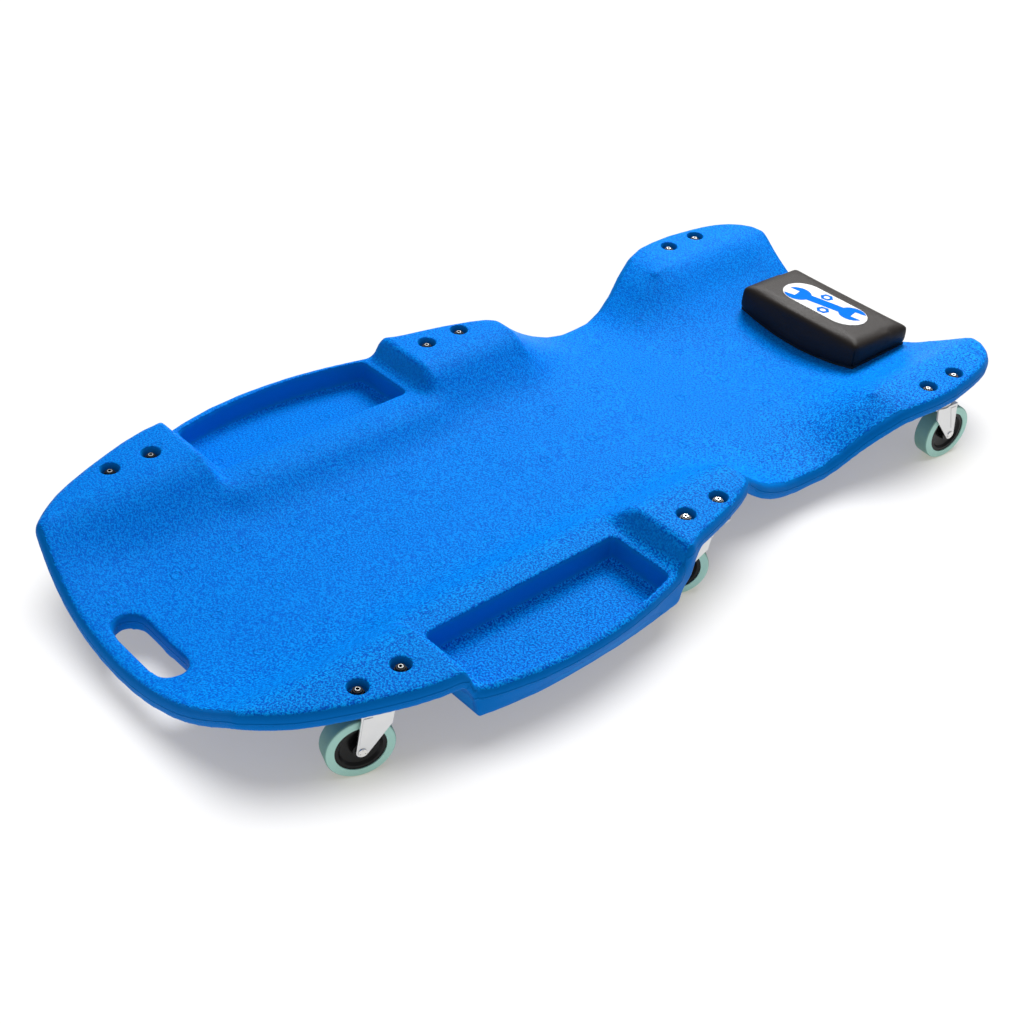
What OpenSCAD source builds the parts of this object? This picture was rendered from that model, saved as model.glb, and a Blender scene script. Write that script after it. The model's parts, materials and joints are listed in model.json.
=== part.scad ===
// Mechanic's creeper: a low moulded deck on six swivel casters, with a headrest cushion.
// +Y runs from the foot end (hand slot) to the head end, +X is the right side, and the floor is Z = 0.

/* [Deck] */
// Height of the flat caster pads above the floor
pad_height = 102; // [100:1:110]
// Wall to wall thickness of the moulded sheet
sheet = 19; // [17:1:20]
// Height of the tool tray rims and the ledges beside them
ledge_height = 80; // [78:1:84]
// Height of the tool tray floors
tray_floor = 54; // [50:1:60]
// Height of the underside of the tool trays at their head ends
tray_under = 42; // [38:1:44]
// How far the rounded rim stands out from the edge of the top surface
rim = 5; // [3:0.5:5]

/* [Hand slot] */
// Length of the slot across the deck
slot_length = 95; // [80:1:110]
// Width of the slot
slot_width = 32; // [28:1:36]
// Distance of the slot's centre from the middle of the deck
slot_y = -469; // [-471:0.5:-465]

/* [Casters] */
// Side to side distance between the swivel axes
track = 387; // [384:1:388]
// Wheel diameter over the tyre
wheel_d = 63.5; // [60:0.5:63.5]
// Width of the tyre
tyre_w = 19; // [18:0.5:20]
// Offset of the axle from the swivel axis
trail = 19; // [16:1:20]
// Distance between the two mounting bolts of a caster
bolt_pitch = 45; // [44:1:46]

/* [Headrest] */
// Width of the cushion
cushion_w = 172; // [160:1:176]
// Length of the cushion along the deck
cushion_l = 95; // [90:1:97]
// Height of the cushion's top face at its foot edge
cushion_top = 92; // [88:1:96]

/* [Hidden] */
$fn = 48;
eps = 0.01;

// Caster rows along the deck, from the foot end, and each caster's resting swivel angle
foot_row = -367;
middle_row = 21;
head_row = 394.5;
half_track = track / 2;
casters = [
  ["foot_left", -half_track, foot_row, 172],
  ["foot_right", half_track, foot_row, 161],
  ["middle_left", -half_track, middle_row, 168],
  ["middle_right", half_track, middle_row, 147],
  ["head_left", -half_track, head_row, 5],
  ["head_right", half_track, head_row, -7]
];
caster_parts = ["plate", "bearing", "kingpin", "fork", "axle", "bushing", "hub", "tyre"];

// Corners of the foot edge and of the head edge, and how far each edge bends at its middle
foot_y = -483;
head_y = 500;
foot_bend = 17;
head_bend = 13;

// Tool trays
tray_foot = -289;
tray_head = -59;
tray_inner = 157;
tray_bulge = 249;
tray_side_foot = 236;
tray_side_head = 231;
tray_slope = 6;
tray_draft = 9;
tub_foot = -298;
tub_head = -49;
climb_end = -11;

// Bolt recesses in the pads
recess_r = 9;
recess_floor = 92;
recess_mouth_r = 10.5;
recess_mouth = 1.5;

// Caster bolts, washers and nuts
bolt_r = 3;
bolt_hole_r = 3.3;
bolt_head_h = 4;
bolt_head_r = 5.77;
bolt_tip = 99.5;
socket_r = 1.7;
socket_depth = 2.5;
washer_r = 7;
washer_t = 1.2;
nut_h = 3.6;
nut_collar_h = 1.6;

// Caster plate and swivel bearing
plate_top = pad_height - sheet;
plate_t = 2.5;
plate_w = 32;
plate_l = 62;
plate_under = plate_top - plate_t;
cup_h = 4.5;
cup_t = 2;
bearing_in_r = 10.4;
bearing_out_r = 14;
retainer_h = 2.5;
ball_count = 12;
ball_r = 1.7;
ball_ring_r = 12.2;
ball_drop = 2;

// Kingpin and fork
kingpin_r = 5;
kingpin_fit = 0.06;
kingpin_bottom = 67.5;
flange_r = 9;
flange_h = 2.2;
crown_under = 70;
crown_t = 2.5;
seat_r = bearing_out_r - 0.6;
seat_h = 3.7;
leg_in = 11.5;
leg_t = 2;
leg_out = leg_in + leg_t;
crown_r = 15;
leg_lead = -9.5;
lead_drop = 12;
leg_back = trail + 1;
leg_drop = 3;
leg_end_r = 5.5;
rib_t = 0.5;

// Axle and wheel
axle_z = wheel_d / 2;
axle_r = 3;
rivet_r = 4.2;
rivet_h = 1;
stake_r = 0.6;
stake_ring_r = 2.6;
bushing_r = 4;
bushing_fit = 0.05;
hub_r = 23.5;
hub_half = 11;
hub_face = tyre_w / 2 - 1;
hub_dish = 3.5;
shoulder_r = 2.2;

// Headrest
dish_r = 321;
dish_low = 50;
cushion_foot = 387;
cushion_tilt = 3.6;
board_t = 3;
lift = 0.5;
screw_x = 50;
screw_rows = [410, 458];
screw_r = 2;
screw_length = 20;
screw_head_r = 4.5;
screw_head_h = 2.5;
screw_sink = 37;

// Cross-sections of the top surface: distance from the middle, height
dish = [for (x = [0 : 29 : 87]) [x, dish_low + x * x / (2 * dish_r)]];
foot_section = [[0, 53], [30, 55], [60, 61], [90, 70], [120, 83], [140, 93], [157, pad_height], [260, pad_height]];
front_section = [[0, 54], [70, 56], [105, 64], [125, 76], [145, 93], [161, pad_height], [260, pad_height]];
tray_section = [[0, 54], [80, 56], [100, 63], [114, 75], [126, ledge_height], [260, ledge_height]];
middle_section = [[0, 55], [80, 57], [108, 66], [128, 80], [146, 95], [159, pad_height], [260, pad_height]];
waist_section = [[0, 54], [100, 54], [150, 53], [178, 52], [260, 52]];
head_section = concat(dish, [[120, 76], [145, 93], [161, pad_height], [260, pad_height]]);
end_section = concat(dish, [[104, 72], [131, 86], [149, 96], [163, 101], [260, 100]]);

// Where each cross-section starts and ends along the deck
waist_start = 90;
waist_end = 198;
sections = [
  [-505, foot_section],
  [-405, front_section],
  [-307.5, front_section],
  [-297.5, tray_section],
  [-49.5, tray_section],
  [-31.5, middle_section],
  [waist_start, middle_section],
  [waist_end, waist_section],
  [225, waist_section],
  [338, head_section],
  [427, head_section],
  [505, end_section]
];

// Half width of the top surface along the deck
half_widths = [
  [foot_y, 158], [-470, 170], [-457, 180], [-441, 190], [-410, 204], [-368, 219.5], [-338, 228.5],
  [-308.5, 232.5], [-300.5, 238], [-256.5, 250], [-209.5, 255], [-154.5, 254], [-104.5, 247], [-50.5, 234],
  [-42.5, 230], [-31.5, 229], [-19.5, 223], [33.5, 210], [79.5, 194], [91.5, 184], [107, 180],
  [130, 181], [155, 179], [185, 177], [215, 178], [245, 181], [275, 188], [300, 198], [325, 206],
  [355, 211.5], [395, 212], [435, 206], [455, 201.5], [470, 196], [483, 187], [493, 175], [head_y, 158]
];

// Stations along the deck, close together where the surface steps or turns
stations = concat(
  [foot_y, -478, -471, -461, -447, -430],
  [for (y = [-405 : 25 : -330]) y],
  [-314, -307.5, -303.5, -300.5, -297.5],
  [for (y = [-274 : 35 : -99]) y],
  [-64.5, -49.5, -43.5, -37.5, -31.5],
  [-22, climb_end, 8, 35.5, 65.5, 81.5, waist_start, 96, 104, 114, 127, 143],
  [for (y = [165 : 22 : 341]) y],
  [363, 393, 427, 445, 461, 476, 487, 495, head_y]
);

// Columns across half of the deck: fixed distances, then shares of what is left to the edge
fixed_columns = [0, 29, 58, 87, 105, 118, 130, 141.5, 148, 162];
edge_shares = [0.45, 1];
tub_column = 147;
half_count = len(fixed_columns) + len(edge_shares) - 1;

function smooth(t) = let (c = min(1, max(0, t))) c * c * (3 - 2 * c);
function mix(a, b, t) = a + (b - a) * t;

// Index of the last row of a list whose first value is not above v
function row_of(v, list, i = 0) = i >= len(list) - 2 || v < list[i + 1][0] ? i : row_of(v, list, i + 1);
function slope(list, i) =
  let (a = list[max(0, i - 1)], b = list[min(len(list) - 1, i + 1)]) (b[1] - a[1]) / (b[0] - a[0]);
// Smooth curve through a list of points
function curve(v, list) =
  let (i = row_of(v, list), a = list[i], b = list[i + 1], h = b[0] - a[0], t = (v - a[0]) / h)
  a[1] * (1 + 2 * t) * pow(1 - t, 2) + slope(list, i) * h * t * pow(1 - t, 2)
  + b[1] * t * t * (3 - 2 * t) + slope(list, i + 1) * h * t * t * (t - 1);

function section_step(t, y) = y >= waist_start && y < waist_end ? 1 - pow(1 - t, 2) : smooth(t);
function top_z(x, y) =
  let (i = row_of(y, sections), a = sections[i], b = sections[i + 1], t = (y - a[0]) / (b[0] - a[0]))
  mix(lookup(abs(x), a[1]), lookup(abs(x), b[1]), section_step(t, y));
function in_tub(x, y) = abs(x) > tub_column && y > tub_foot && y < tub_head;
function tub_share(y) = (y - tub_foot) / (tub_head - tub_foot);
// Behind the head end of a tub the underside climbs evenly back to the pad
function on_climb(x, y) = abs(x) > tub_column && y >= tub_head && y < climb_end;
function climb_z(y) = mix(tray_under, plate_top, (y - tub_head) / (climb_end - tub_head));
function under_z(x, y) =
  in_tub(x, y) ? tray_under + tray_slope * (1 - tub_share(y))
  : on_climb(x, y) ? min(climb_z(y), top_z(x, y) - sheet)
  : top_z(x, y) - sheet;

// Plan position of a station's point: the foot edge and the head edge bend towards their middles
function column(j, w) =
  j < len(fixed_columns) ? fixed_columns[j] * min(1, w / 175)
  : mix(last_fixed(w), w, edge_shares[j - len(fixed_columns)]);
function last_fixed(w) = fixed_columns[len(fixed_columns) - 1] * min(1, w / 175);
function bend(x, w, y) =
  foot_bend * (1 - pow(abs(x) / w, 2.5)) * smooth((-350 - y) / 133)
  + head_bend * (1 - pow(abs(x) / w, 4)) * smooth((y - 420) / 80);
function tub_draft(y) = in_tub(200, y) ? 4 * tray_draft * tub_share(y) * (1 - tub_share(y)) : 0;
function plan_point(i, j, under) =
  let (
    y = stations[i],
    w = curve(y, half_widths),
    x = sign(j) * column(abs(j), under ? w - tub_draft(y) : w)
  )
  [x, y - bend(x, w, y), y];

columns = [for (j = [-half_count : half_count]) j];
rows = len(stations);
across = len(columns);
function plan(under) = [for (i = [0 : rows - 1]) for (j = columns) plan_point(i, j, under)];
top_points = [for (p = plan(false)) [p[0], p[1], top_z(p[0], p[2])]];
under_points = [for (p = plan(true)) [p[0], p[1], under_z(p[0], p[2])]];

// The boundary of the grid, anticlockwise seen from above
boundary = concat(
  [for (j = [0 : across - 2]) j],
  [for (i = [0 : rows - 2]) i * across + across - 1],
  [for (j = [across - 1 : -1 : 1]) (rows - 1) * across + j],
  [for (i = [rows - 1 : -1 : 1]) i * across]
);
round_count = len(boundary);
function outward(k) =
  let (
    a = top_points[boundary[(k + round_count - 1) % round_count]],
    b = top_points[boundary[(k + 1) % round_count]],
    d = [b[1] - a[1], a[0] - b[0]]
  ) d / norm(d);
// One ring of the rim: its share of the full overhang, and its distance from the top or from the underside
function upper_ring(share, down) = [for (k = [0 : round_count - 1])
  let (n = outward(k) * rim * share) top_points[boundary[k]] + [n[0], n[1], -down]];
function lower_ring(share, up) = [for (k = [0 : round_count - 1])
  let (n = outward(k) * rim * share) under_points[boundary[k]] + [n[0], n[1], up]];
rim_rings = concat(
  upper_ring(0.5, 1.8), upper_ring(0.88, 5), upper_ring(1, 9), lower_ring(0.95, 4.5), lower_ring(0.7, 1)
);
ring_count = 5;

deck_points = concat(top_points, under_points, rim_rings);
under_start = rows * across;
ring_start = 2 * rows * across;
function ring_index(r, k) =
  r < 0 ? boundary[k % round_count]
  : r >= ring_count ? under_start + boundary[k % round_count]
  : ring_start + r * round_count + k % round_count;
top_faces = [for (i = [0 : rows - 2]) for (j = [0 : across - 2])
  let (a = i * across + j, b = a + 1, c = b + across, d = a + across)
  each (j < half_count ? [[a, c, b], [a, d, c]] : [[a, d, b], [b, d, c]])];
under_faces = [for (f = top_faces) [f[0] + under_start, f[2] + under_start, f[1] + under_start]];
rim_faces = [for (r = [-1 : ring_count - 1]) for (k = [0 : round_count - 1])
  let (a = ring_index(r, k), b = ring_index(r, k + 1), c = ring_index(r + 1, k + 1), d = ring_index(r + 1, k))
  each [[a, b, c], [a, c, d]]];

module deck_shell() polyhedron(points = deck_points, faces = concat(top_faces, under_faces, rim_faces));

// Centre and radius of the tray's bulging side, from its two ends and its widest point
function bulge_centre(a, b, c) =
  let (
    d = 2 * (a[0] * (b[1] - c[1]) + b[0] * (c[1] - a[1]) + c[0] * (a[1] - b[1])),
    sa = a * a, sb = b * b, sc = c * c
  )
  [
    (sa * (b[1] - c[1]) + sb * (c[1] - a[1]) + sc * (a[1] - b[1])) / d,
    (sa * (c[0] - b[0]) + sb * (a[0] - c[0]) + sc * (b[0] - a[0])) / d
  ];
tray_middle = (tray_foot + tray_head) / 2;
tray_centre = bulge_centre([tray_side_foot, tray_foot], [tray_bulge, tray_middle], [tray_side_head, tray_head]);
tray_radius = tray_bulge - tray_centre[0] + 0.2;

// Outline of a tray recess, with a straight inner side and an arc outer side
module tray_recess() {
  translate([0, 0, tray_floor]) linear_extrude(pad_height - tray_floor) intersection() {
    translate(tray_centre) circle(tray_radius, $fn = 96);
    translate([tray_inner, tray_foot]) square([tray_bulge, tray_head - tray_foot]);
  }
}

module hand_slot() {
  reach = (slot_length - slot_width) / 2;
  translate([0, slot_y, -eps]) linear_extrude(pad_height) {
    square([2 * reach, slot_width], center = true);
    for (side = [-1, 1]) translate([side * reach, 0]) circle(d = slot_width);
  }
}

// Places its children at the two bolt positions of every caster
module at_bolts() {
  for (c = casters) for (side = [-1, 1])
    translate([c[1], c[2] + side * bolt_pitch / 2, 0]) children();
}

module bolt_recess() {
  translate([0, 0, plate_top - 5]) cylinder(r = bolt_hole_r, h = 30);
  translate([0, 0, recess_floor]) cylinder(r = recess_r, h = 20);
  translate([0, 0, pad_height - recess_mouth])
    cylinder(r1 = recess_r, r2 = recess_mouth_r + recess_mouth, h = 2 * recess_mouth);
}

module at_screws() {
  for (side = [-1, 1]) for (y = screw_rows) translate([side * screw_x, y, 0]) children();
}

// The deck: one moulded shell with trays, hand slot, bolt recesses and headrest screw holes
module deck() {
  color("dodgerblue") difference() {
    deck_shell();
    tray_recess();
    mirror([1, 0, 0]) tray_recess();
    hand_slot();
    at_bolts() bolt_recess();
    at_screws() {
      cylinder(r = screw_r, h = 80);
      cylinder(r = screw_head_r + 0.5, h = screw_sink);
    }
  }
}

// A block over the headrest's plan, between two heights, tilted down towards the head end
module headrest_block(inset, top) {
  translate([0, cushion_foot + inset, top]) rotate([-cushion_tilt, 0, 0])
    translate([inset - cushion_w / 2, 0, -100])
      cube([cushion_w - 2 * inset, cushion_l - 2 * inset, 100]);
}

// A long round bar whose underside is the dish that the headrest lies in
module dish_bar(up) {
  translate([0, cushion_foot - 20, dish_low + dish_r + up]) rotate([-90, 0, 0])
    cylinder(r = dish_r, h = cushion_l + 40, $fn = 180);
}

// Soft pad of the headrest
module headrest_cushion() {
  color("dimgray") intersection() {
    headrest_block(0, cushion_top);
    dish_bar(lift + board_t);
  }
}

// Stiff curved board under the cushion, screwed to the deck
module headrest_board() {
  color("black") difference() {
    intersection() {
      headrest_block(2, cushion_top - 20);
      dish_bar(lift);
    }
    dish_bar(lift + board_t);
    at_screws() cylinder(r = screw_r, h = 100);
  }
}

// Pan head screws that hold the board from below
module headrest_screws() {
  color("silver") at_screws() {
    translate([0, 0, screw_sink - screw_head_h]) cylinder(r = screw_head_r, h = screw_head_h);
    translate([0, 0, screw_sink - 1]) cylinder(r = screw_r, h = screw_length);
  }
}

// Hexagon head bolts, pushed up through the caster plates and the deck
module caster_bolts() {
  color("silver") at_bolts() {
    translate([0, 0, plate_under - bolt_head_h]) cylinder(r = bolt_head_r, h = bolt_head_h, $fn = 6);
    difference() {
      union() {
        translate([0, 0, plate_under - 1]) cylinder(r = bolt_r, h = bolt_tip - plate_under);
        translate([0, 0, bolt_tip - 1]) cylinder(r1 = bolt_r, r2 = bolt_r - 0.8, h = 0.8);
      }
      translate([0, 0, bolt_tip - socket_depth]) cylinder(r = socket_r, h = socket_depth + 1);
    }
  }
}

// Flat washers on the recess floors
module caster_washers() {
  color("silver") at_bolts() translate([0, 0, recess_floor]) difference() {
    cylinder(r = washer_r, h = washer_t);
    translate([0, 0, -1]) cylinder(r = bolt_r, h = 4);
  }
}

// Lock nuts: a hexagon with a round collar over its top
module caster_nuts() {
  color("gainsboro") at_bolts() translate([0, 0, recess_floor + washer_t]) difference() {
    union() {
      cylinder(r = bolt_head_r, h = nut_h, $fn = 6);
      translate([0, 0, nut_h - 0.1]) cylinder(r1 = 4.8, r2 = 4.2, h = nut_collar_h);
    }
    translate([0, 0, -1]) cylinder(r = bolt_r, h = 10);
  }
}

// Puts a caster part at its place and resting swivel angle
module place(c) translate([c[1], c[2], 0]) rotate([0, 0, c[3]]) children();

// Top plate: stays square to the deck, so it is placed without the swivel angle
module plate(c) {
  color("lightgray") translate([c[1], c[2], 0]) difference() {
    union() {
      translate([-plate_w / 2, -plate_l / 2 + plate_w / 4, plate_under])
        cube([plate_w, plate_l - plate_w / 2, plate_t]);
      translate([-plate_w / 4, -plate_l / 2, plate_under]) cube([plate_w / 2, plate_l, plate_t]);
      for (a = [-1, 1]) for (b = [-1, 1])
        translate([a * plate_w / 4, b * (plate_l / 2 - plate_w / 4), plate_under])
          cylinder(r = plate_w / 4, h = plate_t);
      translate([0, 0, plate_under - cup_h]) difference() {
        cylinder(r = bearing_out_r + cup_t, h = cup_h + eps);
        translate([0, 0, -1]) cylinder(r = bearing_out_r, h = cup_h + 1);
      }
    }
    translate([0, 0, plate_under - 1]) cylinder(r = kingpin_r, h = 5);
    for (side = [-1, 1])
      translate([0, side * bolt_pitch / 2, plate_under - 1]) cylinder(r = bolt_hole_r, h = 5);
  }
}

// Ball bearing of the swivel: a retainer ring with its balls
module bearing(c) {
  color("gray") place(c) translate([0, 0, plate_under]) {
    translate([0, 0, -retainer_h]) difference() {
      cylinder(r = bearing_out_r, h = retainer_h);
      translate([0, 0, -1]) cylinder(r = bearing_in_r, h = retainer_h + 2);
    }
    for (i = [1 : ball_count]) rotate([0, 0, 360 * i / ball_count])
      translate([ball_ring_r, 0, -ball_drop]) sphere(r = ball_r);
  }
}

// Kingpin: a rivet through the plate, with a flange under the fork crown
module kingpin(c) {
  color("lightgray") translate([c[1], c[2], 0]) {
    translate([0, 0, kingpin_bottom]) cylinder(r = kingpin_r, h = plate_top - kingpin_bottom);
    translate([0, 0, kingpin_bottom]) cylinder(r = flange_r, h = flange_h);
  }
}

// Point where a line from p touches the round end of a fork leg, on the side given
function touch(p, c, r, side) =
  let (d = c - p, l = norm(d), a = atan2(d[1], d[0]) + side * asin(r / l), t = sqrt(l * l - r * r))
  p + t * [cos(a), sin(a)];

// One leg's outline: wide at the crown, tapering to a round end at the axle
module leg_outline() {
  end = [trail, axle_z];
  lead = [leg_lead, crown_under + crown_t];
  shoulder = [leg_lead + 2, crown_under - lead_drop];
  back = [leg_back, crown_under - leg_drop];
  rear = [leg_back, crown_under + crown_t];
  polygon([lead, shoulder, touch(shoulder, end, leg_end_r, -1), end, touch(back, end, leg_end_r, 1), back, rear]);
  translate(end) circle(leg_end_r);
}

// A pressed rib down the outside of each leg
module leg_rib() {
  polygon([[leg_back - 10, crown_under - 1], [leg_back - 2, crown_under - 1],
    [trail + 2.6, axle_z + 9], [trail - 1, axle_z + 9]]);
}

// Fork: a crown with a raised bearing seat and two legs, pressed from one sheet
module fork(c) {
  color("gainsboro") place(c) difference() {
    union() {
      translate([-leg_out, leg_lead, crown_under]) cube([2 * leg_out, leg_back - leg_lead, crown_t]);
      translate([0, 0, crown_under]) cylinder(r = crown_r, h = crown_t);
      translate([0, 0, crown_under]) cylinder(r = seat_r, h = crown_t + seat_h);
      for (side = [-1, 1])
        translate([side < 0 ? -leg_out : leg_in, 0, 0])
          rotate([90, 0, 90]) linear_extrude(leg_t) leg_outline();
      for (side = [-1, 1])
        translate([side < 0 ? -leg_out - rib_t : leg_out - eps, 0, 0])
          rotate([90, 0, 90]) linear_extrude(rib_t + eps) leg_rib();
    }
    translate([0, 0, crown_under - 1]) cylinder(r = kingpin_r + kingpin_fit, h = 10);
    translate([-30, trail, axle_z]) rotate([0, 90, 0]) cylinder(r = axle_r, h = 60);
  }
}

// Lays a turned part along the axle
module along_axle(c) place(c) translate([0, trail, axle_z]) rotate([0, 90, 0]) children();

// Axle: a rivet with a low head outside each leg, staked at three points
module axle(c) {
  color("silver") along_axle(c) difference() {
    union() {
      translate([0, 0, -leg_out]) cylinder(r = axle_r, h = 2 * leg_out);
      for (side = [-1, 1]) rotate([side > 0 ? 0 : 180, 0, 0])
        translate([0, 0, leg_out]) cylinder(r1 = rivet_r, r2 = rivet_r - 0.4, h = rivet_h);
    }
    for (side = [-1, 1]) for (a = [60, 180, 300])
      rotate([0, 0, a]) translate([stake_ring_r, 0, side * (leg_out + rivet_h)]) sphere(r = stake_r);
  }
}

// Bushing: a tube held between the legs, that the hub turns on
module bushing(c) {
  color("silver") along_axle(c) translate([0, 0, -leg_in]) difference() {
    cylinder(r = bushing_r, h = 2 * leg_in);
    translate([0, 0, -1]) cylinder(r = axle_r, h = 2 * leg_in + 2);
  }
}

// Hub: a black wheel centre with a dished face, a raised rim band and a boss on each side
module hub(c) {
  color("black") along_axle(c) rotate_extrude() polygon([
    [bushing_r + bushing_fit, -hub_half], [8, -hub_half], [9, hub_dish - hub_face], [18, hub_dish - 1 - hub_face],
    [20, -hub_face], [hub_r, -hub_face], [hub_r, hub_face], [20, hub_face], [18, hub_face - hub_dish + 1],
    [9, hub_face - hub_dish], [8, hub_half], [bushing_r + bushing_fit, hub_half]
  ]);
}

// Tyre: a soft tread moulded around the hub, with rounded shoulders
module tyre(c) {
  color("mediumaquamarine") along_axle(c) rotate_extrude() {
    translate([hub_r, -tyre_w / 2]) square([axle_z - hub_r - shoulder_r, tyre_w]);
    translate([axle_z - shoulder_r, shoulder_r - tyre_w / 2]) square([shoulder_r, tyre_w - 2 * shoulder_r]);
    for (side = [-1, 1])
      translate([axle_z - shoulder_r, side * (tyre_w / 2 - shoulder_r)]) intersection() {
        circle(shoulder_r);
        translate([0, -shoulder_r]) square([shoulder_r, 2 * shoulder_r]);
      }
  }
}

deck();
headrest_cushion();
headrest_board();
headrest_screws();
caster_bolts();
caster_washers();
caster_nuts();
for (c = casters) {
  plate(c);
  bearing(c);
  kingpin(c);
  fork(c);
  axle(c);
  bushing(c);
  hub(c);
  tyre(c);
}
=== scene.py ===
"""Mechanic's creeper: a moulded blue deck with tool trays and a headrest, on six swivel casters."""

import json
import math

import bmesh
import bpy
from mathutils import Matrix, Vector
from mathutils.bvhtree import BVHTree

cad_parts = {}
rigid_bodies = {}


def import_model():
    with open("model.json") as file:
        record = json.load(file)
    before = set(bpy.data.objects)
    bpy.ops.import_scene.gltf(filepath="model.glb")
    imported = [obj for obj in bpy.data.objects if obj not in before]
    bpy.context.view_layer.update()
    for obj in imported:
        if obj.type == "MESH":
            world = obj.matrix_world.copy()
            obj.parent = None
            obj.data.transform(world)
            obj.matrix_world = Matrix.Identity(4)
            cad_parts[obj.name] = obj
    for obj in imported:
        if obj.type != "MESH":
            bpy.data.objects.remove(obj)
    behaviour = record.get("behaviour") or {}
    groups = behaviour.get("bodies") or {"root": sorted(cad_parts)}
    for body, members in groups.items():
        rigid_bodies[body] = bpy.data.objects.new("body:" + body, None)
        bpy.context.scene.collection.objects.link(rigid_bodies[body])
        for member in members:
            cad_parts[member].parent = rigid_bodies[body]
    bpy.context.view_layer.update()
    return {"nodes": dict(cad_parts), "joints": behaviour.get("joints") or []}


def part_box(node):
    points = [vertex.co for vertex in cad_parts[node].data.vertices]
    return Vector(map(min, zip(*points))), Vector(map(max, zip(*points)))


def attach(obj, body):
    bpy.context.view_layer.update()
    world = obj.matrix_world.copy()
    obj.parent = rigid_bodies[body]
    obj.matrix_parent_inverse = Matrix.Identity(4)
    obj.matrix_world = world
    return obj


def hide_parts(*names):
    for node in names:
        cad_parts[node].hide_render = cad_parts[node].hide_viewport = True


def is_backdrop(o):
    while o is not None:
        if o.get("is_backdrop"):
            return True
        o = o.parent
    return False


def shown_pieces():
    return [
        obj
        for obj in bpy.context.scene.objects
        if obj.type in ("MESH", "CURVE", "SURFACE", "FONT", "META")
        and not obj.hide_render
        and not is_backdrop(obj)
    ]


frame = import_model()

MM = 0.001
IN_MM = 1000
CASTERS = ["foot_left", "foot_right", "middle_left", "middle_right", "head_left", "head_right"]

# how far each caster bolt stands from the middle of its plate
BOLT_OFFSET = 22.5 * MM
# the widest part of the recess round a bolt
RECESS_RADIUS = 13 * MM
# the spacing of the moulding's round marks
MARK_PITCH = 66.5 * MM
# the depth, in millimetres below the deck's top edge, of the mould's parting line
PARTING_DROP = 9.0
# the drop that is stored for the underside, in millimetres
UNDERSIDE_DROP = 30.0

PRINT_WHITE = (0.80, 0.80, 0.80)
PRINT_BLUE = (0.0003, 0.16, 0.70)


# ---------------------------------------------------------------- materials


class Signal:
    """A value or a colour inside a material. Arithmetic on it adds Math nodes."""

    def __init__(self, finish, socket):
        self.finish, self.socket = finish, socket

    def maths(self, operation, *values):
        return self.finish.add("Math", {"operation": operation}, dict(enumerate(values)))

    def __add__(self, other):
        return self.maths("ADD", self, other)

    def __radd__(self, other):
        return self.maths("ADD", other, self)

    def __sub__(self, other):
        return self.maths("SUBTRACT", self, other)

    def __rsub__(self, other):
        return self.maths("SUBTRACT", other, self)

    def __mul__(self, other):
        return self.maths("MULTIPLY", self, other)

    def __rmul__(self, other):
        return self.maths("MULTIPLY", other, self)

    def power(self, other):
        return self.maths("POWER", self, other)

    def high(self, other):
        return self.maths("MAXIMUM", self, other)

    def size(self):
        return self.maths("ABSOLUTE", self)

    def sine(self):
        return self.maths("SINE", self)

    def ramp(self, start, end, low=0.0, high=1.0):
        """Runs smoothly from low to high while the value goes from start to end."""
        wires = {"Value": self, "From Min": start, "From Max": end,
                 "To Min": low, "To Max": high}
        return self.finish.add("MapRange", {"interpolation_type": "SMOOTHSTEP"}, wires)


class Finish:
    """One material, built node by node."""

    def __init__(self, name):
        self.material = bpy.data.materials.new(name)
        self.material.use_nodes = True
        self.tree = self.material.node_tree
        self.tree.nodes.clear()

    def add(self, kind, settings=None, wires=None, output=0):
        """Any node: its settings first, then the values or the links of its sockets."""
        node = self.tree.nodes.new("ShaderNode" + kind)
        for key, value in (settings or {}).items():
            setattr(node, key, value)
        for key, value in (wires or {}).items():
            if isinstance(value, Signal):
                self.tree.links.new(value.socket, node.inputs[key])
            else:
                node.inputs[key].default_value = value
        return Signal(self, node.outputs[output])

    def place(self):
        """Where a point is on the object, in metres."""
        return self.add("TexCoord", output="Object")

    def axes(self):
        """The same place as three numbers."""
        node = self.tree.nodes.new("ShaderNodeSeparateXYZ")
        self.tree.links.new(self.place().socket, node.inputs[0])
        return [Signal(self, s) for s in node.outputs]

    def mark(self, name):
        """A number stored on the piece's points."""
        return self.add("Attribute", {"attribute_name": name}, output="Fac")

    def noise(self, scale, detail=2.0, roughness=0.5):
        wires = {"Vector": self.place(), "Scale": scale, "Detail": detail, "Roughness": roughness}
        return self.add("TexNoise", {}, wires)

    def leather(self):
        """Low in fine creases and high on the cells between them."""
        wires = {"Vector": self.place(), "Scale": 900}
        cells = self.add("TexVoronoi", {"feature": "DISTANCE_TO_EDGE"}, wires)
        return cells.ramp(0.0, 0.25)

    def blend(self, amount, first, second, way="MIX"):
        """A colour between two colours."""
        settings = {"data_type": "RGBA", "blend_type": way}
        return self.add("Mix", settings, {0: amount, 6: first, 7: second}, output=2)

    def bump(self, height, distance, strength=1.0):
        wires = {"Height": height, "Distance": distance, "Strength": strength}
        return self.add("Bump", {}, wires)

    def surface(self, **sockets):
        """Closes the material with one shader, whose sockets are named with underscores."""
        wires = {key.replace("_", " "): value for key, value in sockets.items()}
        shader = self.add("BsdfPrincipled", {}, wires)
        node = self.tree.nodes.new("ShaderNodeOutputMaterial")
        self.tree.links.new(shader.socket, node.inputs["Surface"])
        return self.material


def tint(red, green, blue):
    return (red, green, blue, 1.0)


def scaled(shade, *factors):
    """A shade with its three parts multiplied, by one factor or by three."""
    if len(factors) == 1:
        factors *= 3
    return tint(*(part * factor for part, factor in zip(shade, factors)))


# ---------------------------------------------------------------- modelling


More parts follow.
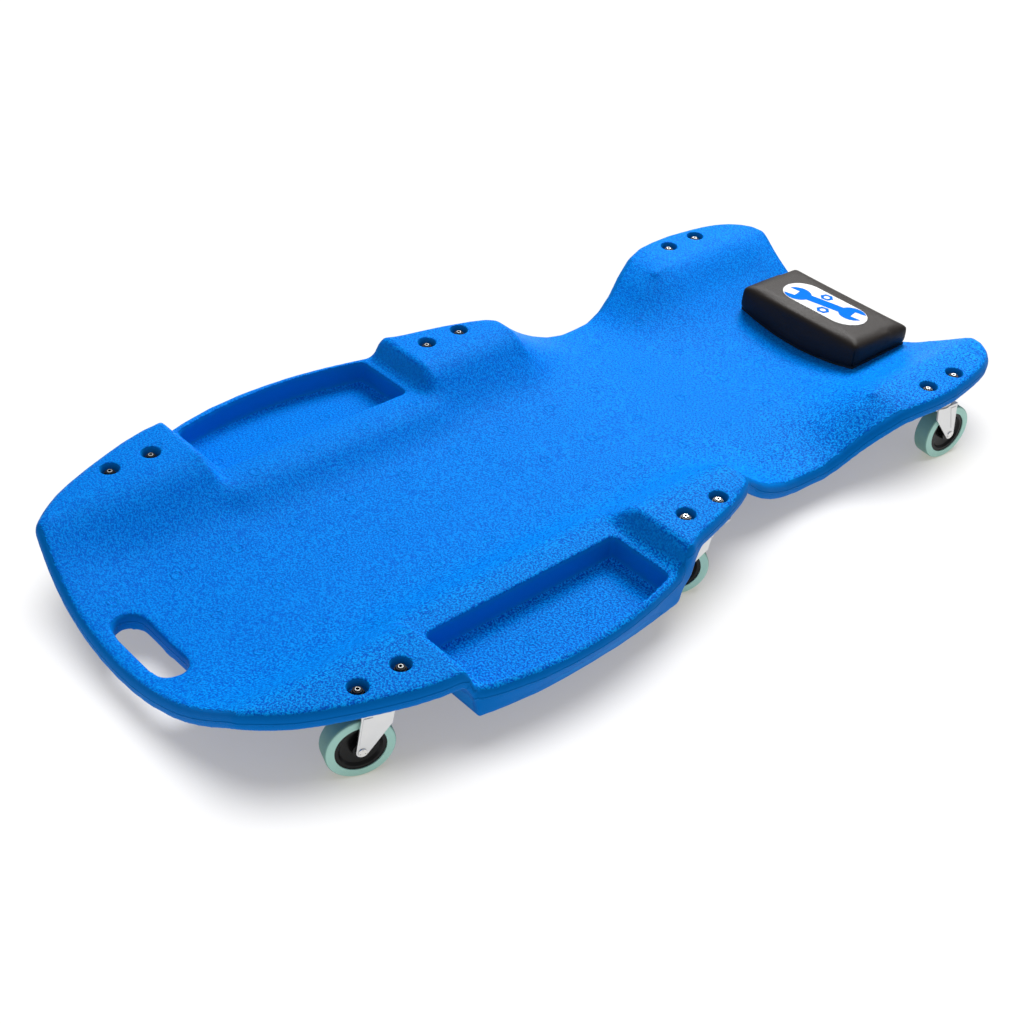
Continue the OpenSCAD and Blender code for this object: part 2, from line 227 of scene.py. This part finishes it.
def pick(piece):
    """Makes one piece the only thing selected, and active."""
    bpy.ops.object.select_all(action="DESELECT")
    piece.select_set(True)
    bpy.context.view_layer.objects.active = piece
    return piece


def edit(piece, kind="VERT"):
    """Opens a piece in edit mode, with all of it selected."""
    pick(piece)
    bpy.ops.object.mode_set(mode="EDIT")
    bpy.ops.mesh.select_mode(type=kind)
    bpy.ops.mesh.select_all(action="SELECT")


def done():
    bpy.ops.object.mode_set(mode="OBJECT")


def modify(piece, kind, **settings):
    """Adds a modifier to a piece and applies it."""
    pick(piece)
    modifier = piece.modifiers.new(kind.title(), kind)
    for key, value in settings.items():
        setattr(modifier, key, value)
    bpy.ops.object.modifier_apply(modifier=modifier.name)


def settle(piece):
    """Puts a piece's place into its mesh."""
    pick(piece)
    bpy.ops.object.transform_apply(location=True, rotation=True, scale=True)


def twin(piece, name):
    """A copy of a piece with its own mesh and no material."""
    copy = bpy.data.objects.new(name, piece.data.copy())
    bpy.context.collection.objects.link(copy)
    copy.data.materials.clear()
    return copy


def copy_of(node, name):
    """A merged copy of a CAD node's mesh, as a new piece."""
    piece = twin(frame["nodes"][node], name)
    edit(piece)
    bpy.ops.mesh.remove_doubles(threshold=0.02 * MM)
    bpy.ops.mesh.normals_make_consistent(inside=False)
    done()
    return piece


def join(pieces, name):
    """Makes several pieces one, under a name."""
    bpy.ops.object.select_all(action="DESELECT")
    for piece in pieces:
        piece.select_set(True)
    bpy.context.view_layer.objects.active = pieces[0]
    bpy.ops.object.join()
    pieces[0].name = name
    return pieces[0]


def turned(profile, place, name, steps=32):
    """A closed solid of revolution about the Z axis from a profile of (radius, height) points."""
    bpy.ops.object.select_all(action="DESELECT")
    bpy.ops.mesh.primitive_plane_add(size=0.01, location=(0, 0, 0))
    piece = bpy.context.active_object
    piece.name = name
    edit(piece)
    bpy.ops.mesh.delete(type="VERT")
    shape = bmesh.from_edit_mesh(piece.data)
    points = [shape.verts.new((r, 0, z)) for r, z in profile]
    for a, b in zip(points, points[1:]):
        shape.edges.new((a, b))
    bmesh.update_edit_mesh(piece.data)
    bpy.ops.mesh.select_all(action="SELECT")
    bpy.ops.mesh.spin(steps=steps, angle=math.tau, center=(0, 0, 0), axis=(0, 0, 1))
    bpy.ops.mesh.select_all(action="SELECT")
    bpy.ops.mesh.remove_doubles(threshold=0.01 * MM)
    bpy.ops.mesh.normals_make_consistent(inside=False)
    done()
    piece.location = place
    settle(piece)
    return piece


def smooth_shade(piece, angle=35):
    pick(piece)
    bpy.ops.object.shade_smooth_by_angle(angle=math.radians(angle))


def corners(node):
    """The low corner, the high corner and the middle of a CAD node's box."""
    low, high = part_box(node)
    return low, high, (low + high) / 2


def soften(times):
    """Smooths what is selected in edit mode."""
    bpy.ops.mesh.vertices_smooth(factor=0.5, repeat=times)


# ---------------------------------------------------------------- deck


def bolt_places():
    """The twelve bolt axes, two for each caster's plate."""
    places = []
    for name in CASTERS:
        middle = corners(name + "_plate")[2]
        places += [Vector((middle.x, middle.y + side * BOLT_OFFSET, 0)) for side in (-1, 1)]
    return places


def make_deck():
    """The CAD deck with its recesses filled, remeshed, softened, and its recesses turned again."""
    deck = copy_of("deck", "deck_skin")
    top = corners("deck")[1].z
    plugs, depth = [], 18 * MM
    plug_height = top - depth / 2 - 0.2 * MM
    for spot in bolt_places():
        bpy.ops.object.select_all(action="DESELECT")
        bpy.ops.mesh.primitive_cylinder_add(
            radius=RECESS_RADIUS, depth=depth, vertices=24, location=(spot.x, spot.y, plug_height))
        plugs.append(bpy.context.active_object)
    for plug in plugs:
        settle(plug)
    deck = join([deck] + plugs, "deck_skin")
    modify(deck, "REMESH", mode="VOXEL", voxel_size=2.5 * MM, adaptivity=0.0)
    soften_deck(deck)
    # thins the mesh to fewer than 200,000 triangles
    modify(deck, "DECIMATE", ratio=0.48)
    cut_bolt_recesses(deck, top)
    mark_deck(deck)
    smooth_shade(deck, 50)
    deck.data.materials.clear()
    deck.data.materials.append(deck_plastic())
    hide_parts("deck")
    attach(deck, "creeper")


def soften_deck(deck):
    """Rounds every edge a little, and the broad moulded surfaces a lot."""
    edit(deck)
    soften(4)
    bpy.ops.mesh.select_all(action="DESELECT")
    bpy.ops.mesh.select_mode(type="EDGE")
    bpy.ops.mesh.edges_select_sharp(sharpness=math.radians(9))
    bpy.ops.mesh.select_mode(type="VERT")
    bpy.ops.mesh.select_more()
    bpy.ops.mesh.select_all(action="INVERT")
    soften(60)
    done()


def cut_bolt_recesses(deck, top):
    """Cuts twelve round recesses with a flared mouth and a rounded floor."""
    floor, clear, edge = -10, 6, RECESS_RADIUS * IN_MM
    profile = [(0, floor), (7.5, floor), (8.6, floor + 0.4), (9, floor + 1.4), (9.2, -2.2),
               (9.6, -1.1), (10.4, -0.3), (11.6, 0), (edge, 0.4), (edge, clear), (0, clear)]
    profile = [(radius * MM, height * MM) for radius, height in profile]
    cutters = [turned(profile, (spot.x, spot.y, top), "recess_cutter") for spot in bolt_places()]
    cutter = join(cutters, "recess_cutter")
    modify(deck, "BOOLEAN", operation="DIFFERENCE", object=cutter, solver="MANIFOLD")
    bpy.data.objects.remove(cutter, do_unlink=True)


def mark_deck(deck):
    """Stores how level each point is and, on the outer rim, its drop below the top edge."""
    outward, inward, overhead = 14 * MM, 7 * MM, 0.3
    down = Vector((0, 0, -1))
    mesh = deck.data
    tree = BVHTree.FromObject(deck, bpy.context.evaluated_depsgraph_get())
    drop = mesh.attributes.new("drop", "FLOAT", "POINT")
    level = mesh.attributes.new("level", "FLOAT", "POINT")

    def seen_from_above(spot):
        return tree.ray_cast(Vector((spot.x, spot.y, overhead)), down)[0]

    for v in mesh.vertices:
        n = v.normal
        level.data[v.index].value = n.z
        flat = Vector((n.x, n.y, 0)).normalized()
        below = UNDERSIDE_DROP if n.z < -0.3 else 0.0
        if -0.9 < n.z < 0.9 and seen_from_above(v.co + flat * outward) is None:
            hit = seen_from_above(v.co - flat * inward)
            if hit is not None:
                below = max(0.0, (hit.z - v.co.z) * IN_MM)
        drop.data[v.index].value = below


def deck_plastic():
    """Blue polyethylene: pebbled where it lies open, smooth on the rim and on the tray walls; the
    darker blues on those faces are painted shade, and the pale flecks are partly painted glints.
    """
    f = Finish("deck_blue_moulding")
    drop, level = f.mark("drop"), f.mark("level")
    x, y, _ = f.axes()
    grain_area = level.ramp(0.45, 0.75) * drop.ramp(0.6, 2.2, 1.0, 0.0)

    # pebbled grain of the mould, in two sizes
    pebble = f.noise(500, 3.0, 0.72)
    fine = f.noise(1100, 1.0, 0.5)
    speckle = pebble.ramp(0.42, 0.59)

    # small round marks where the two walls are pressed together, on a square pattern
    across = x.maths("WRAP", x, MARK_PITCH / 2, -MARK_PITCH / 2)
    along = y.maths("WRAP", y, MARK_PITCH / 2, -MARK_PITCH / 2)
    reach = (across * across + along * along).power(0.5) * IN_MM
    ring = (reach - 5.2).size().ramp(0.3, 1.5, 1.0, 0.0)
    dot = reach.ramp(1.0, 2.4, 1.0, 0.0)
    pressed = (ring - dot * 0.6) * level.ramp(0.8, 0.95)

    # the pale flecks of the grain are partly painted glints, and they are painted stronger towards
    # the right side, where the lamp's highlight falls
    patches = f.noise(7, 3.0, 0.55)
    blue = f.blend(patches.ramp(0.3, 0.7), tint(0.0003, 0.178, 0.77), tint(0.0004, 0.198, 0.84))
    speckled = f.blend(speckle, tint(0.0002, 0.088, 0.55), tint(0.002, 0.350, 1.0))
    grain_and_painted_glints = f.blend(x.ramp(0.02, 0.16) * 0.42 + 0.56, blue, speckled)
    marked = f.blend(pressed.high(0.0) * 0.22, grain_and_painted_glints, tint(0.0002, 0.120, 0.54))
    # the rim, the underside and the tray walls take darker blues: painted shade on these steep and
    # hidden faces
    rim = f.blend(patches, tint(0.0002, 0.150, 0.54), tint(0.0003, 0.165, 0.59))
    wall = f.blend(patches, tint(0.0004, 0.190, 0.60), tint(0.0005, 0.205, 0.65))
    smooth = f.blend(drop.ramp(0.0, 1.5), wall, rim)
    colour = f.blend(grain_area, smooth, marked)

    # the parting line left by the two halves of the mould
    line = (drop - PARTING_DROP).size().ramp(0.3, 1.3, 1.0, 0.0)
    height = (pebble * 0.75 + fine * 0.25) * grain_area + pressed * grain_area * 0.35 + line * 0.8
    normal = f.bump(height, 1.0 * MM, 1.0)
    rough = 0.40 - grain_area * 0.04 + patches * 0.06
    return f.surface(Base_Color=colour, Roughness=rough, Normal=normal, IOR=1.08)


# ---------------------------------------------------------------- headrest


def make_cushion():
    """The headrest's padded cushion, a little puffed, with its badge."""
    low, high, middle = corners("headrest_cushion")
    pad = copy_of("headrest_cushion", "headrest_pad")
    modify(pad, "REMESH", mode="VOXEL", voxel_size=4 * MM, adaptivity=0.0)
    relax(pad, 1)
    inflate(pad, 1.3 * MM)
    relax(pad, 1)
    modify(pad, "SUBSURF", levels=1, render_levels=1)
    fatten(pad, 0.9 * MM)
    smooth_shade(pad, 60)
    pad.data.materials.append(vinyl(low, high))
    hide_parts("headrest_cushion")
    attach(pad, "creeper")
    make_emblem(pad, middle.y)


def relax(piece, times):
    edit(piece)
    soften(times)
    done()


def fatten(piece, thickness):
    """Moves every face of a piece outwards."""
    edit(piece)
    bpy.ops.transform.shrink_fatten(value=thickness)
    done()


def prism(outline):
    """An upright block with the given plan outline, which passes through the cushion's top."""
    bottom, tall = 70 * MM, 50 * MM
    bpy.ops.object.select_all(action="DESELECT")
    bpy.ops.mesh.primitive_circle_add(
        vertices=len(outline), radius=0.01, fill_type="NGON", location=(0, 0, 0))
    piece = bpy.context.active_object
    piece.name = "emblem_block"
    for v, (x, y) in zip(piece.data.vertices, outline):
        v.co = (x, y, bottom)
    edit(piece, "FACE")
    bpy.ops.mesh.extrude_region_move(TRANSFORM_OT_translate={"value": (0, 0, tall)})
    bpy.ops.mesh.select_all(action="SELECT")
    bpy.ops.mesh.normals_make_consistent(inside=False)
    done()
    return piece


def arc(x, y, radius, start, end, steps):
    """Points round part of a circle, in degrees."""
    angles = [math.radians(start + (end - start) * i / steps) for i in range(steps + 1)]
    return [(x + radius * math.cos(a), y + radius * math.sin(a)) for a in angles]


def turn_plan(outline, degrees, x, y):
    """An outline turned about its middle, and then moved."""
    c, s = math.cos(math.radians(degrees)), math.sin(math.radians(degrees))
    return [(x + u * c - v * s, y + u * s + v * c) for u, v in outline]


def make_emblem(pad, middle):
    """A printed badge on the pad: a white patch with a spanner and two nuts."""
    half, radius = 31 * MM, 25 * MM
    patch = arc(half, 0, radius, -90, 90, 24) + arc(-half, 0, radius, 90, 270, 24)
    end, head, jaw = 35 * MM, 16 * MM, 6.5 * MM
    root = end + 1 * MM
    spanner = (
        arc(end, 0, head, 154, 28, 10) + [(root, jaw), (root, -jaw)]
        + arc(end, 0, head, -28, -154, 10)
        + arc(-end, 0, head, -26, -152, 10) + [(-root, -jaw), (-root, jaw)]
        + arc(-end, 0, head, 152, 26, 10)
    )
    nut = arc(0, 0, 8 * MM, 0, 300, 5)
    bore = arc(0, 0, 3.6 * MM, 0, 345, 23)
    under, over = 0.35 * MM, 0.55 * MM
    printed(pad, turn_plan(patch, 0, 0, middle), under, "emblem_patch", PRINT_WHITE)
    printed(pad, turn_plan(spanner, 13, 0, middle), over, "emblem_spanner", PRINT_BLUE)
    for name, side in (("emblem_nut_a", -1), ("emblem_nut_b", 1)):
        x, y = 9 * MM * side, middle - 14.5 * MM * side
        printed(pad, turn_plan(nut, 15, x, y), over, name, PRINT_BLUE, turn_plan(bore, 0, x, y))


def printed(pad, outline, proud, name, shade, hole=None):
    """The part of the pad's top inside an outline, standing a little proud, as a printed film."""
    film = twin(pad, name)
    fatten(film, proud)
    for plan, operation in ((outline, "INTERSECT"), (hole, "DIFFERENCE")):
        if plan:
            block = prism(plan)
            modify(film, "BOOLEAN", operation=operation, object=block, solver="EXACT")
            bpy.data.objects.remove(block, do_unlink=True)
    smooth_shade(film, 30)
    film.data.materials.clear()
    film.data.materials.append(print_film(name + "_print", shade))
    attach(film, "creeper")


def print_film(name, shade):
    """Slightly worn ink on the vinyl's grain."""
    f = Finish(name)
    wear = f.noise(260, 3.0, 0.7).ramp(0.28, 0.42)
    colour = f.blend(wear, scaled(shade, 0.8), scaled(shade, 1.0))
    normal = f.bump(f.leather(), 0.12 * MM, 0.4)
    return f.surface(Base_Color=colour, Roughness=0.45 + wear * 0.08, Normal=normal, IOR=1.06)


def inflate(pad, cap):
    """Lets a little air pressure round the pad, and holds every point near where it began."""
    start = [v.co.copy() for v in pad.data.vertices]
    pick(pad)
    cloth = pad.modifiers.new("Cloth", "CLOTH")
    cloth.settings.use_pressure = True
    cloth.settings.uniform_pressure_force = 4
    cloth.settings.effector_weights.gravity = 0
    cloth.settings.tension_stiffness = 40
    cloth.settings.compression_stiffness = 40
    scene, last = bpy.context.scene, 20
    for number in range(1, last + 1):
        scene.frame_set(number)
    solved = pad.evaluated_get(bpy.context.evaluated_depsgraph_get()).data
    moved = [v.co.copy() for v in solved.vertices]
    pad.modifiers.remove(cloth)
    scene.frame_set(1)
    for v, a, b in zip(pad.data.vertices, start, moved):
        step = b - a
        if step.length > cap:
            step *= cap / step.length
        v.co = a + step


def vinyl(low, high):
    """Grained black vinyl, with a sewn seam down each upright corner."""
    f = Finish("headrest_vinyl")
    x, y, z = f.axes()
    half = (high - low) / 2
    beside = x.size() - half.x
    ahead = (y - (low.y + high.y) / 2).size() - half.y
    near = beside.ramp(-14 * MM, -11 * MM) * ahead.ramp(-14 * MM, -11 * MM)
    side = z.ramp(high.z - 9 * MM, high.z - 5 * MM, 1.0, 0.0)
    away = (beside - ahead).size() * IN_MM
    seam = away.ramp(0.5, 1.3, 1.0, 0.0) * near * side
    welt = away.ramp(1.0, 4.5, 1.0, 0.0) * near * side
    patches = f.noise(25, 3.0, 0.6)
    plain = f.blend(patches, tint(0.012, 0.008, 0.006), tint(0.017, 0.012, 0.009))
    colour = f.blend(seam, plain, tint(0.001, 0.001, 0.001))
    height = f.leather() * 0.12 + f.noise(300) * 0.12 + welt * 0.8 - seam * 1.6
    normal = f.bump(height, 1.0 * MM, 0.5)
    return f.surface(Base_Color=colour, Roughness=0.46 + patches * 0.1, Normal=normal, IOR=1.305)


# ---------------------------------------------------------------- casters and hardware


def metal(name, shade, rough, fineness=900):
    """Bare or zinc plated metal, slightly cloudy."""
    f = Finish(name)
    cloudy = f.noise(60, 3.0, 0.6)
    colour = f.blend(cloudy, scaled(shade, 0.86, 0.87, 0.88), scaled(shade, 1.0))
    normal = f.bump(f.noise(fineness, 2.0, 0.6), 0.05 * MM, 0.35)
    return f.surface(
        Base_Color=colour, Metallic=1.0, Roughness=rough - 0.08 + cloudy * 0.16, Normal=normal)


def bolt_metal(tip):
    """Bright turned bolt ends, and below them near-black painted shade on the threads and sockets
    down in the recesses.
    """
    f = Finish("bolt_zinc")
    # below the tip the bolt is painted near black: painted shade down in the recess and in the
    # socket
    bright = f.axes()[2].ramp(tip - 0.5 * MM, tip - 0.2 * MM)
    colour = f.blend(bright, tint(0.03, 0.032, 0.036), tint(0.82, 0.82, 0.80))
    normal = f.bump(f.noise(1600), 0.05 * MM, 0.4)
    return f.surface(
        Base_Color=colour, Metallic=1.0, Roughness=0.45 - bright * 0.1, Normal=normal)


def plain_plastic(name, shade, rough):
    """A plain dark plastic or coating, slightly cloudy."""
    f = Finish(name)
    cloudy = f.noise(80, 2.0, 0.5)
    colour = f.blend(cloudy, scaled(shade, 0.8), scaled(shade, 1.2))
    normal = f.bump(f.noise(1500), 0.06 * MM, 0.4)
    return f.surface(
        Base_Color=colour, Roughness=rough - 0.05 + cloudy * 0.1, Normal=normal, IOR=1.3)


def tyre_rubber(caster, joint):
    """Sea green rubber with a darker tread, which is what lies furthest from this wheel's axle;
    part of the tread's darkness is painted shade.
    """
    tread_start, tread_end = 30.6, 31.3
    f = Finish("tyre_sea_green_" + caster)
    centre, axis = Vector(joint["pos_m"]), Vector(joint["axis"]).normalized()
    arm = f.add("VectorMath", {"operation": "SUBTRACT"}, {0: f.place(), 1: centre})
    cross = f.add("VectorMath", {"operation": "CROSS_PRODUCT"}, {0: arm, 1: axis})
    reach = f.add("VectorMath", {"operation": "LENGTH"}, {0: cross}, output="Value") * IN_MM
    tread = reach.ramp(tread_start, tread_end)
    cloudy = f.noise(45, 3.0, 0.6)
    face = f.blend(cloudy, tint(0.37, 0.66, 0.58), tint(0.43, 0.74, 0.66))
    # the tread's darker green is partly painted shade
    tread_with_painted_shade = f.blend(cloudy, tint(0.15, 0.32, 0.26), tint(0.21, 0.41, 0.34))
    colour = f.blend(tread, face, tread_with_painted_shade)
    turning = (reach * 4.2).sine() * 0.5 + 0.5
    normal = f.bump(f.noise(900) * 0.6 + turning * 0.4, 0.08 * MM, 0.4)
    return f.surface(Base_Color=colour, Roughness=0.5 + cloudy * 0.12, Normal=normal)


def paint_nodes():
    """Gives every CAD node that still shows its own finish."""
    bright = metal("fork_bright_zinc", (0.72, 0.72, 0.72), 0.34)
    plate = metal("plate_zinc", (0.55, 0.56, 0.58), 0.42)
    steel = metal("fastener_steel", (0.78, 0.77, 0.75), 0.26, 1500)
    bolt = bolt_metal(corners("caster_bolts")[1].z)
    # the nuts and washers are painted near black: painted shade for the recesses they sit down in
    nut_painted_shade = plain_plastic("nut_black_painted_shade", (0.003, 0.003, 0.004), 0.4)
    ground = metal("bearing_steel", (0.55, 0.55, 0.56), 0.25)
    hub = plain_plastic("hub_black", (0.003, 0.003, 0.0035), 0.3)
    board = plain_plastic("board_black", (0.02, 0.02, 0.02), 0.5)
    by_part = {"plate": plate, "bearing": ground, "kingpin": steel, "fork": bright,
               "axle": steel, "bushing": steel, "hub": hub}
    finishes = {f"{c}_{part}": m for c in CASTERS for part, m in by_part.items()}
    finishes.update({"headrest_board": board, "headrest_screws": steel, "caster_bolts": bolt,
                     "caster_washers": nut_painted_shade, "caster_nuts": nut_painted_shade})
    rolls = {j["name"]: j for j in frame["joints"]}
    for caster in CASTERS:
        finishes[caster + "_tyre"] = tyre_rubber(caster, rolls[caster + "_roll"])
    for name, node in frame["nodes"].items():
        if name in ("deck", "headrest_cushion"):
            continue
        for place in node.material_slots:
            place.material = finishes.get(name, steel)
        smooth_shade(node, 30)


# ---------------------------------------------------------------- room


def make_room():
    """A white floor and world, with separate lamps for the creeper and for the floor."""
    bpy.ops.object.select_all(action="DESELECT")
    bpy.ops.mesh.primitive_plane_add(size=80, location=(0, 0, 0))
    floor = bpy.context.active_object
    floor.name = "floor"
    f = Finish("floor_white")
    shade = f.blend(f.noise(3), tint(0.475, 0.485, 0.505), tint(0.485, 0.495, 0.515))
    floor.data.materials.append(f.surface(
        Base_Color=shade, Roughness=0.9,
        Emission_Color=tint(1.0, 0.93, 0.79), Emission_Strength=0.33))
    floor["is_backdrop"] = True

    world = bpy.data.worlds.new("studio")
    bpy.context.scene.world = world
    world.use_nodes = True
    background = world.node_tree.nodes["Background"]
    background.inputs["Color"].default_value = tint(1.0, 1.0, 1.0)
    background.inputs["Strength"].default_value = 0.42

    creeper = bpy.data.collections.new("creeper_pieces")
    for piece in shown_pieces():
        creeper.objects.link(piece)
    ground = bpy.data.collections.new("ground")
    ground.objects.link(floor)

    # the key lights the creeper softly, and the sheen lamp adds only its highlights
    key = soft_light("key", (-1.02, 1.66, 1.96), (0.0, 0.15, 0.05), 1.6, 94)
    key.visible_glossy = False
    key.light_linking.receiver_collection = creeper
    sheen = soft_light("sheen", (-1.18, 1.94, 2.0), (0.2, 0.0, 0.05), 0.6, 76)
    sheen.visible_diffuse = False
    sheen.light_linking.receiver_collection = creeper

    # a broad overhead light for the floor, which gives the soft shadow
    bpy.ops.object.light_add(type="SUN", location=(0, 0, 3))
    wash = bpy.context.active_object
    wash.name = "wash"
    wash.data.energy = 3.5
    wash.data.angle = math.radians(39)
    wash.light_linking.receiver_collection = ground
    bpy.context.scene.view_settings.view_transform = "Standard"
    bpy.context.scene.view_settings.look = "None"


def soft_light(name, place, target, width, power):
    """A round area lamp that looks at a target."""
    bpy.ops.object.light_add(type="AREA", location=place)
    lamp = bpy.context.active_object
    lamp.name = name
    lamp.data.shape = "DISK"
    lamp.data.size = width
    lamp.data.energy = power
    lamp.rotation_euler = (Vector(target) - Vector(place)).to_track_quat("-Z", "Y").to_euler()
    return lamp


def make_camera():
    """The viewing camera, from its three directions and its place."""
    right = Vector((0.6611211, 0.7484420, 0.0524738))
    down = Vector((0.4751307, -0.3635162, -0.8013157))
    forward = Vector((-0.5806632, 0.5546986, -0.5959359))
    turn = Matrix((right, -down, -forward)).transposed()
    bpy.ops.object.camera_add(location=(1.01749, -1.01540, 1.05205), rotation=turn.to_euler())
    camera = bpy.context.active_object
    camera.data.sensor_width = 36
    camera.data.lens = 59.9
    camera.data.clip_start, camera.data.clip_end = 0.05, 30
    bpy.context.scene.camera = camera


make_camera()
make_deck()
make_cushion()
paint_nodes()
make_room()
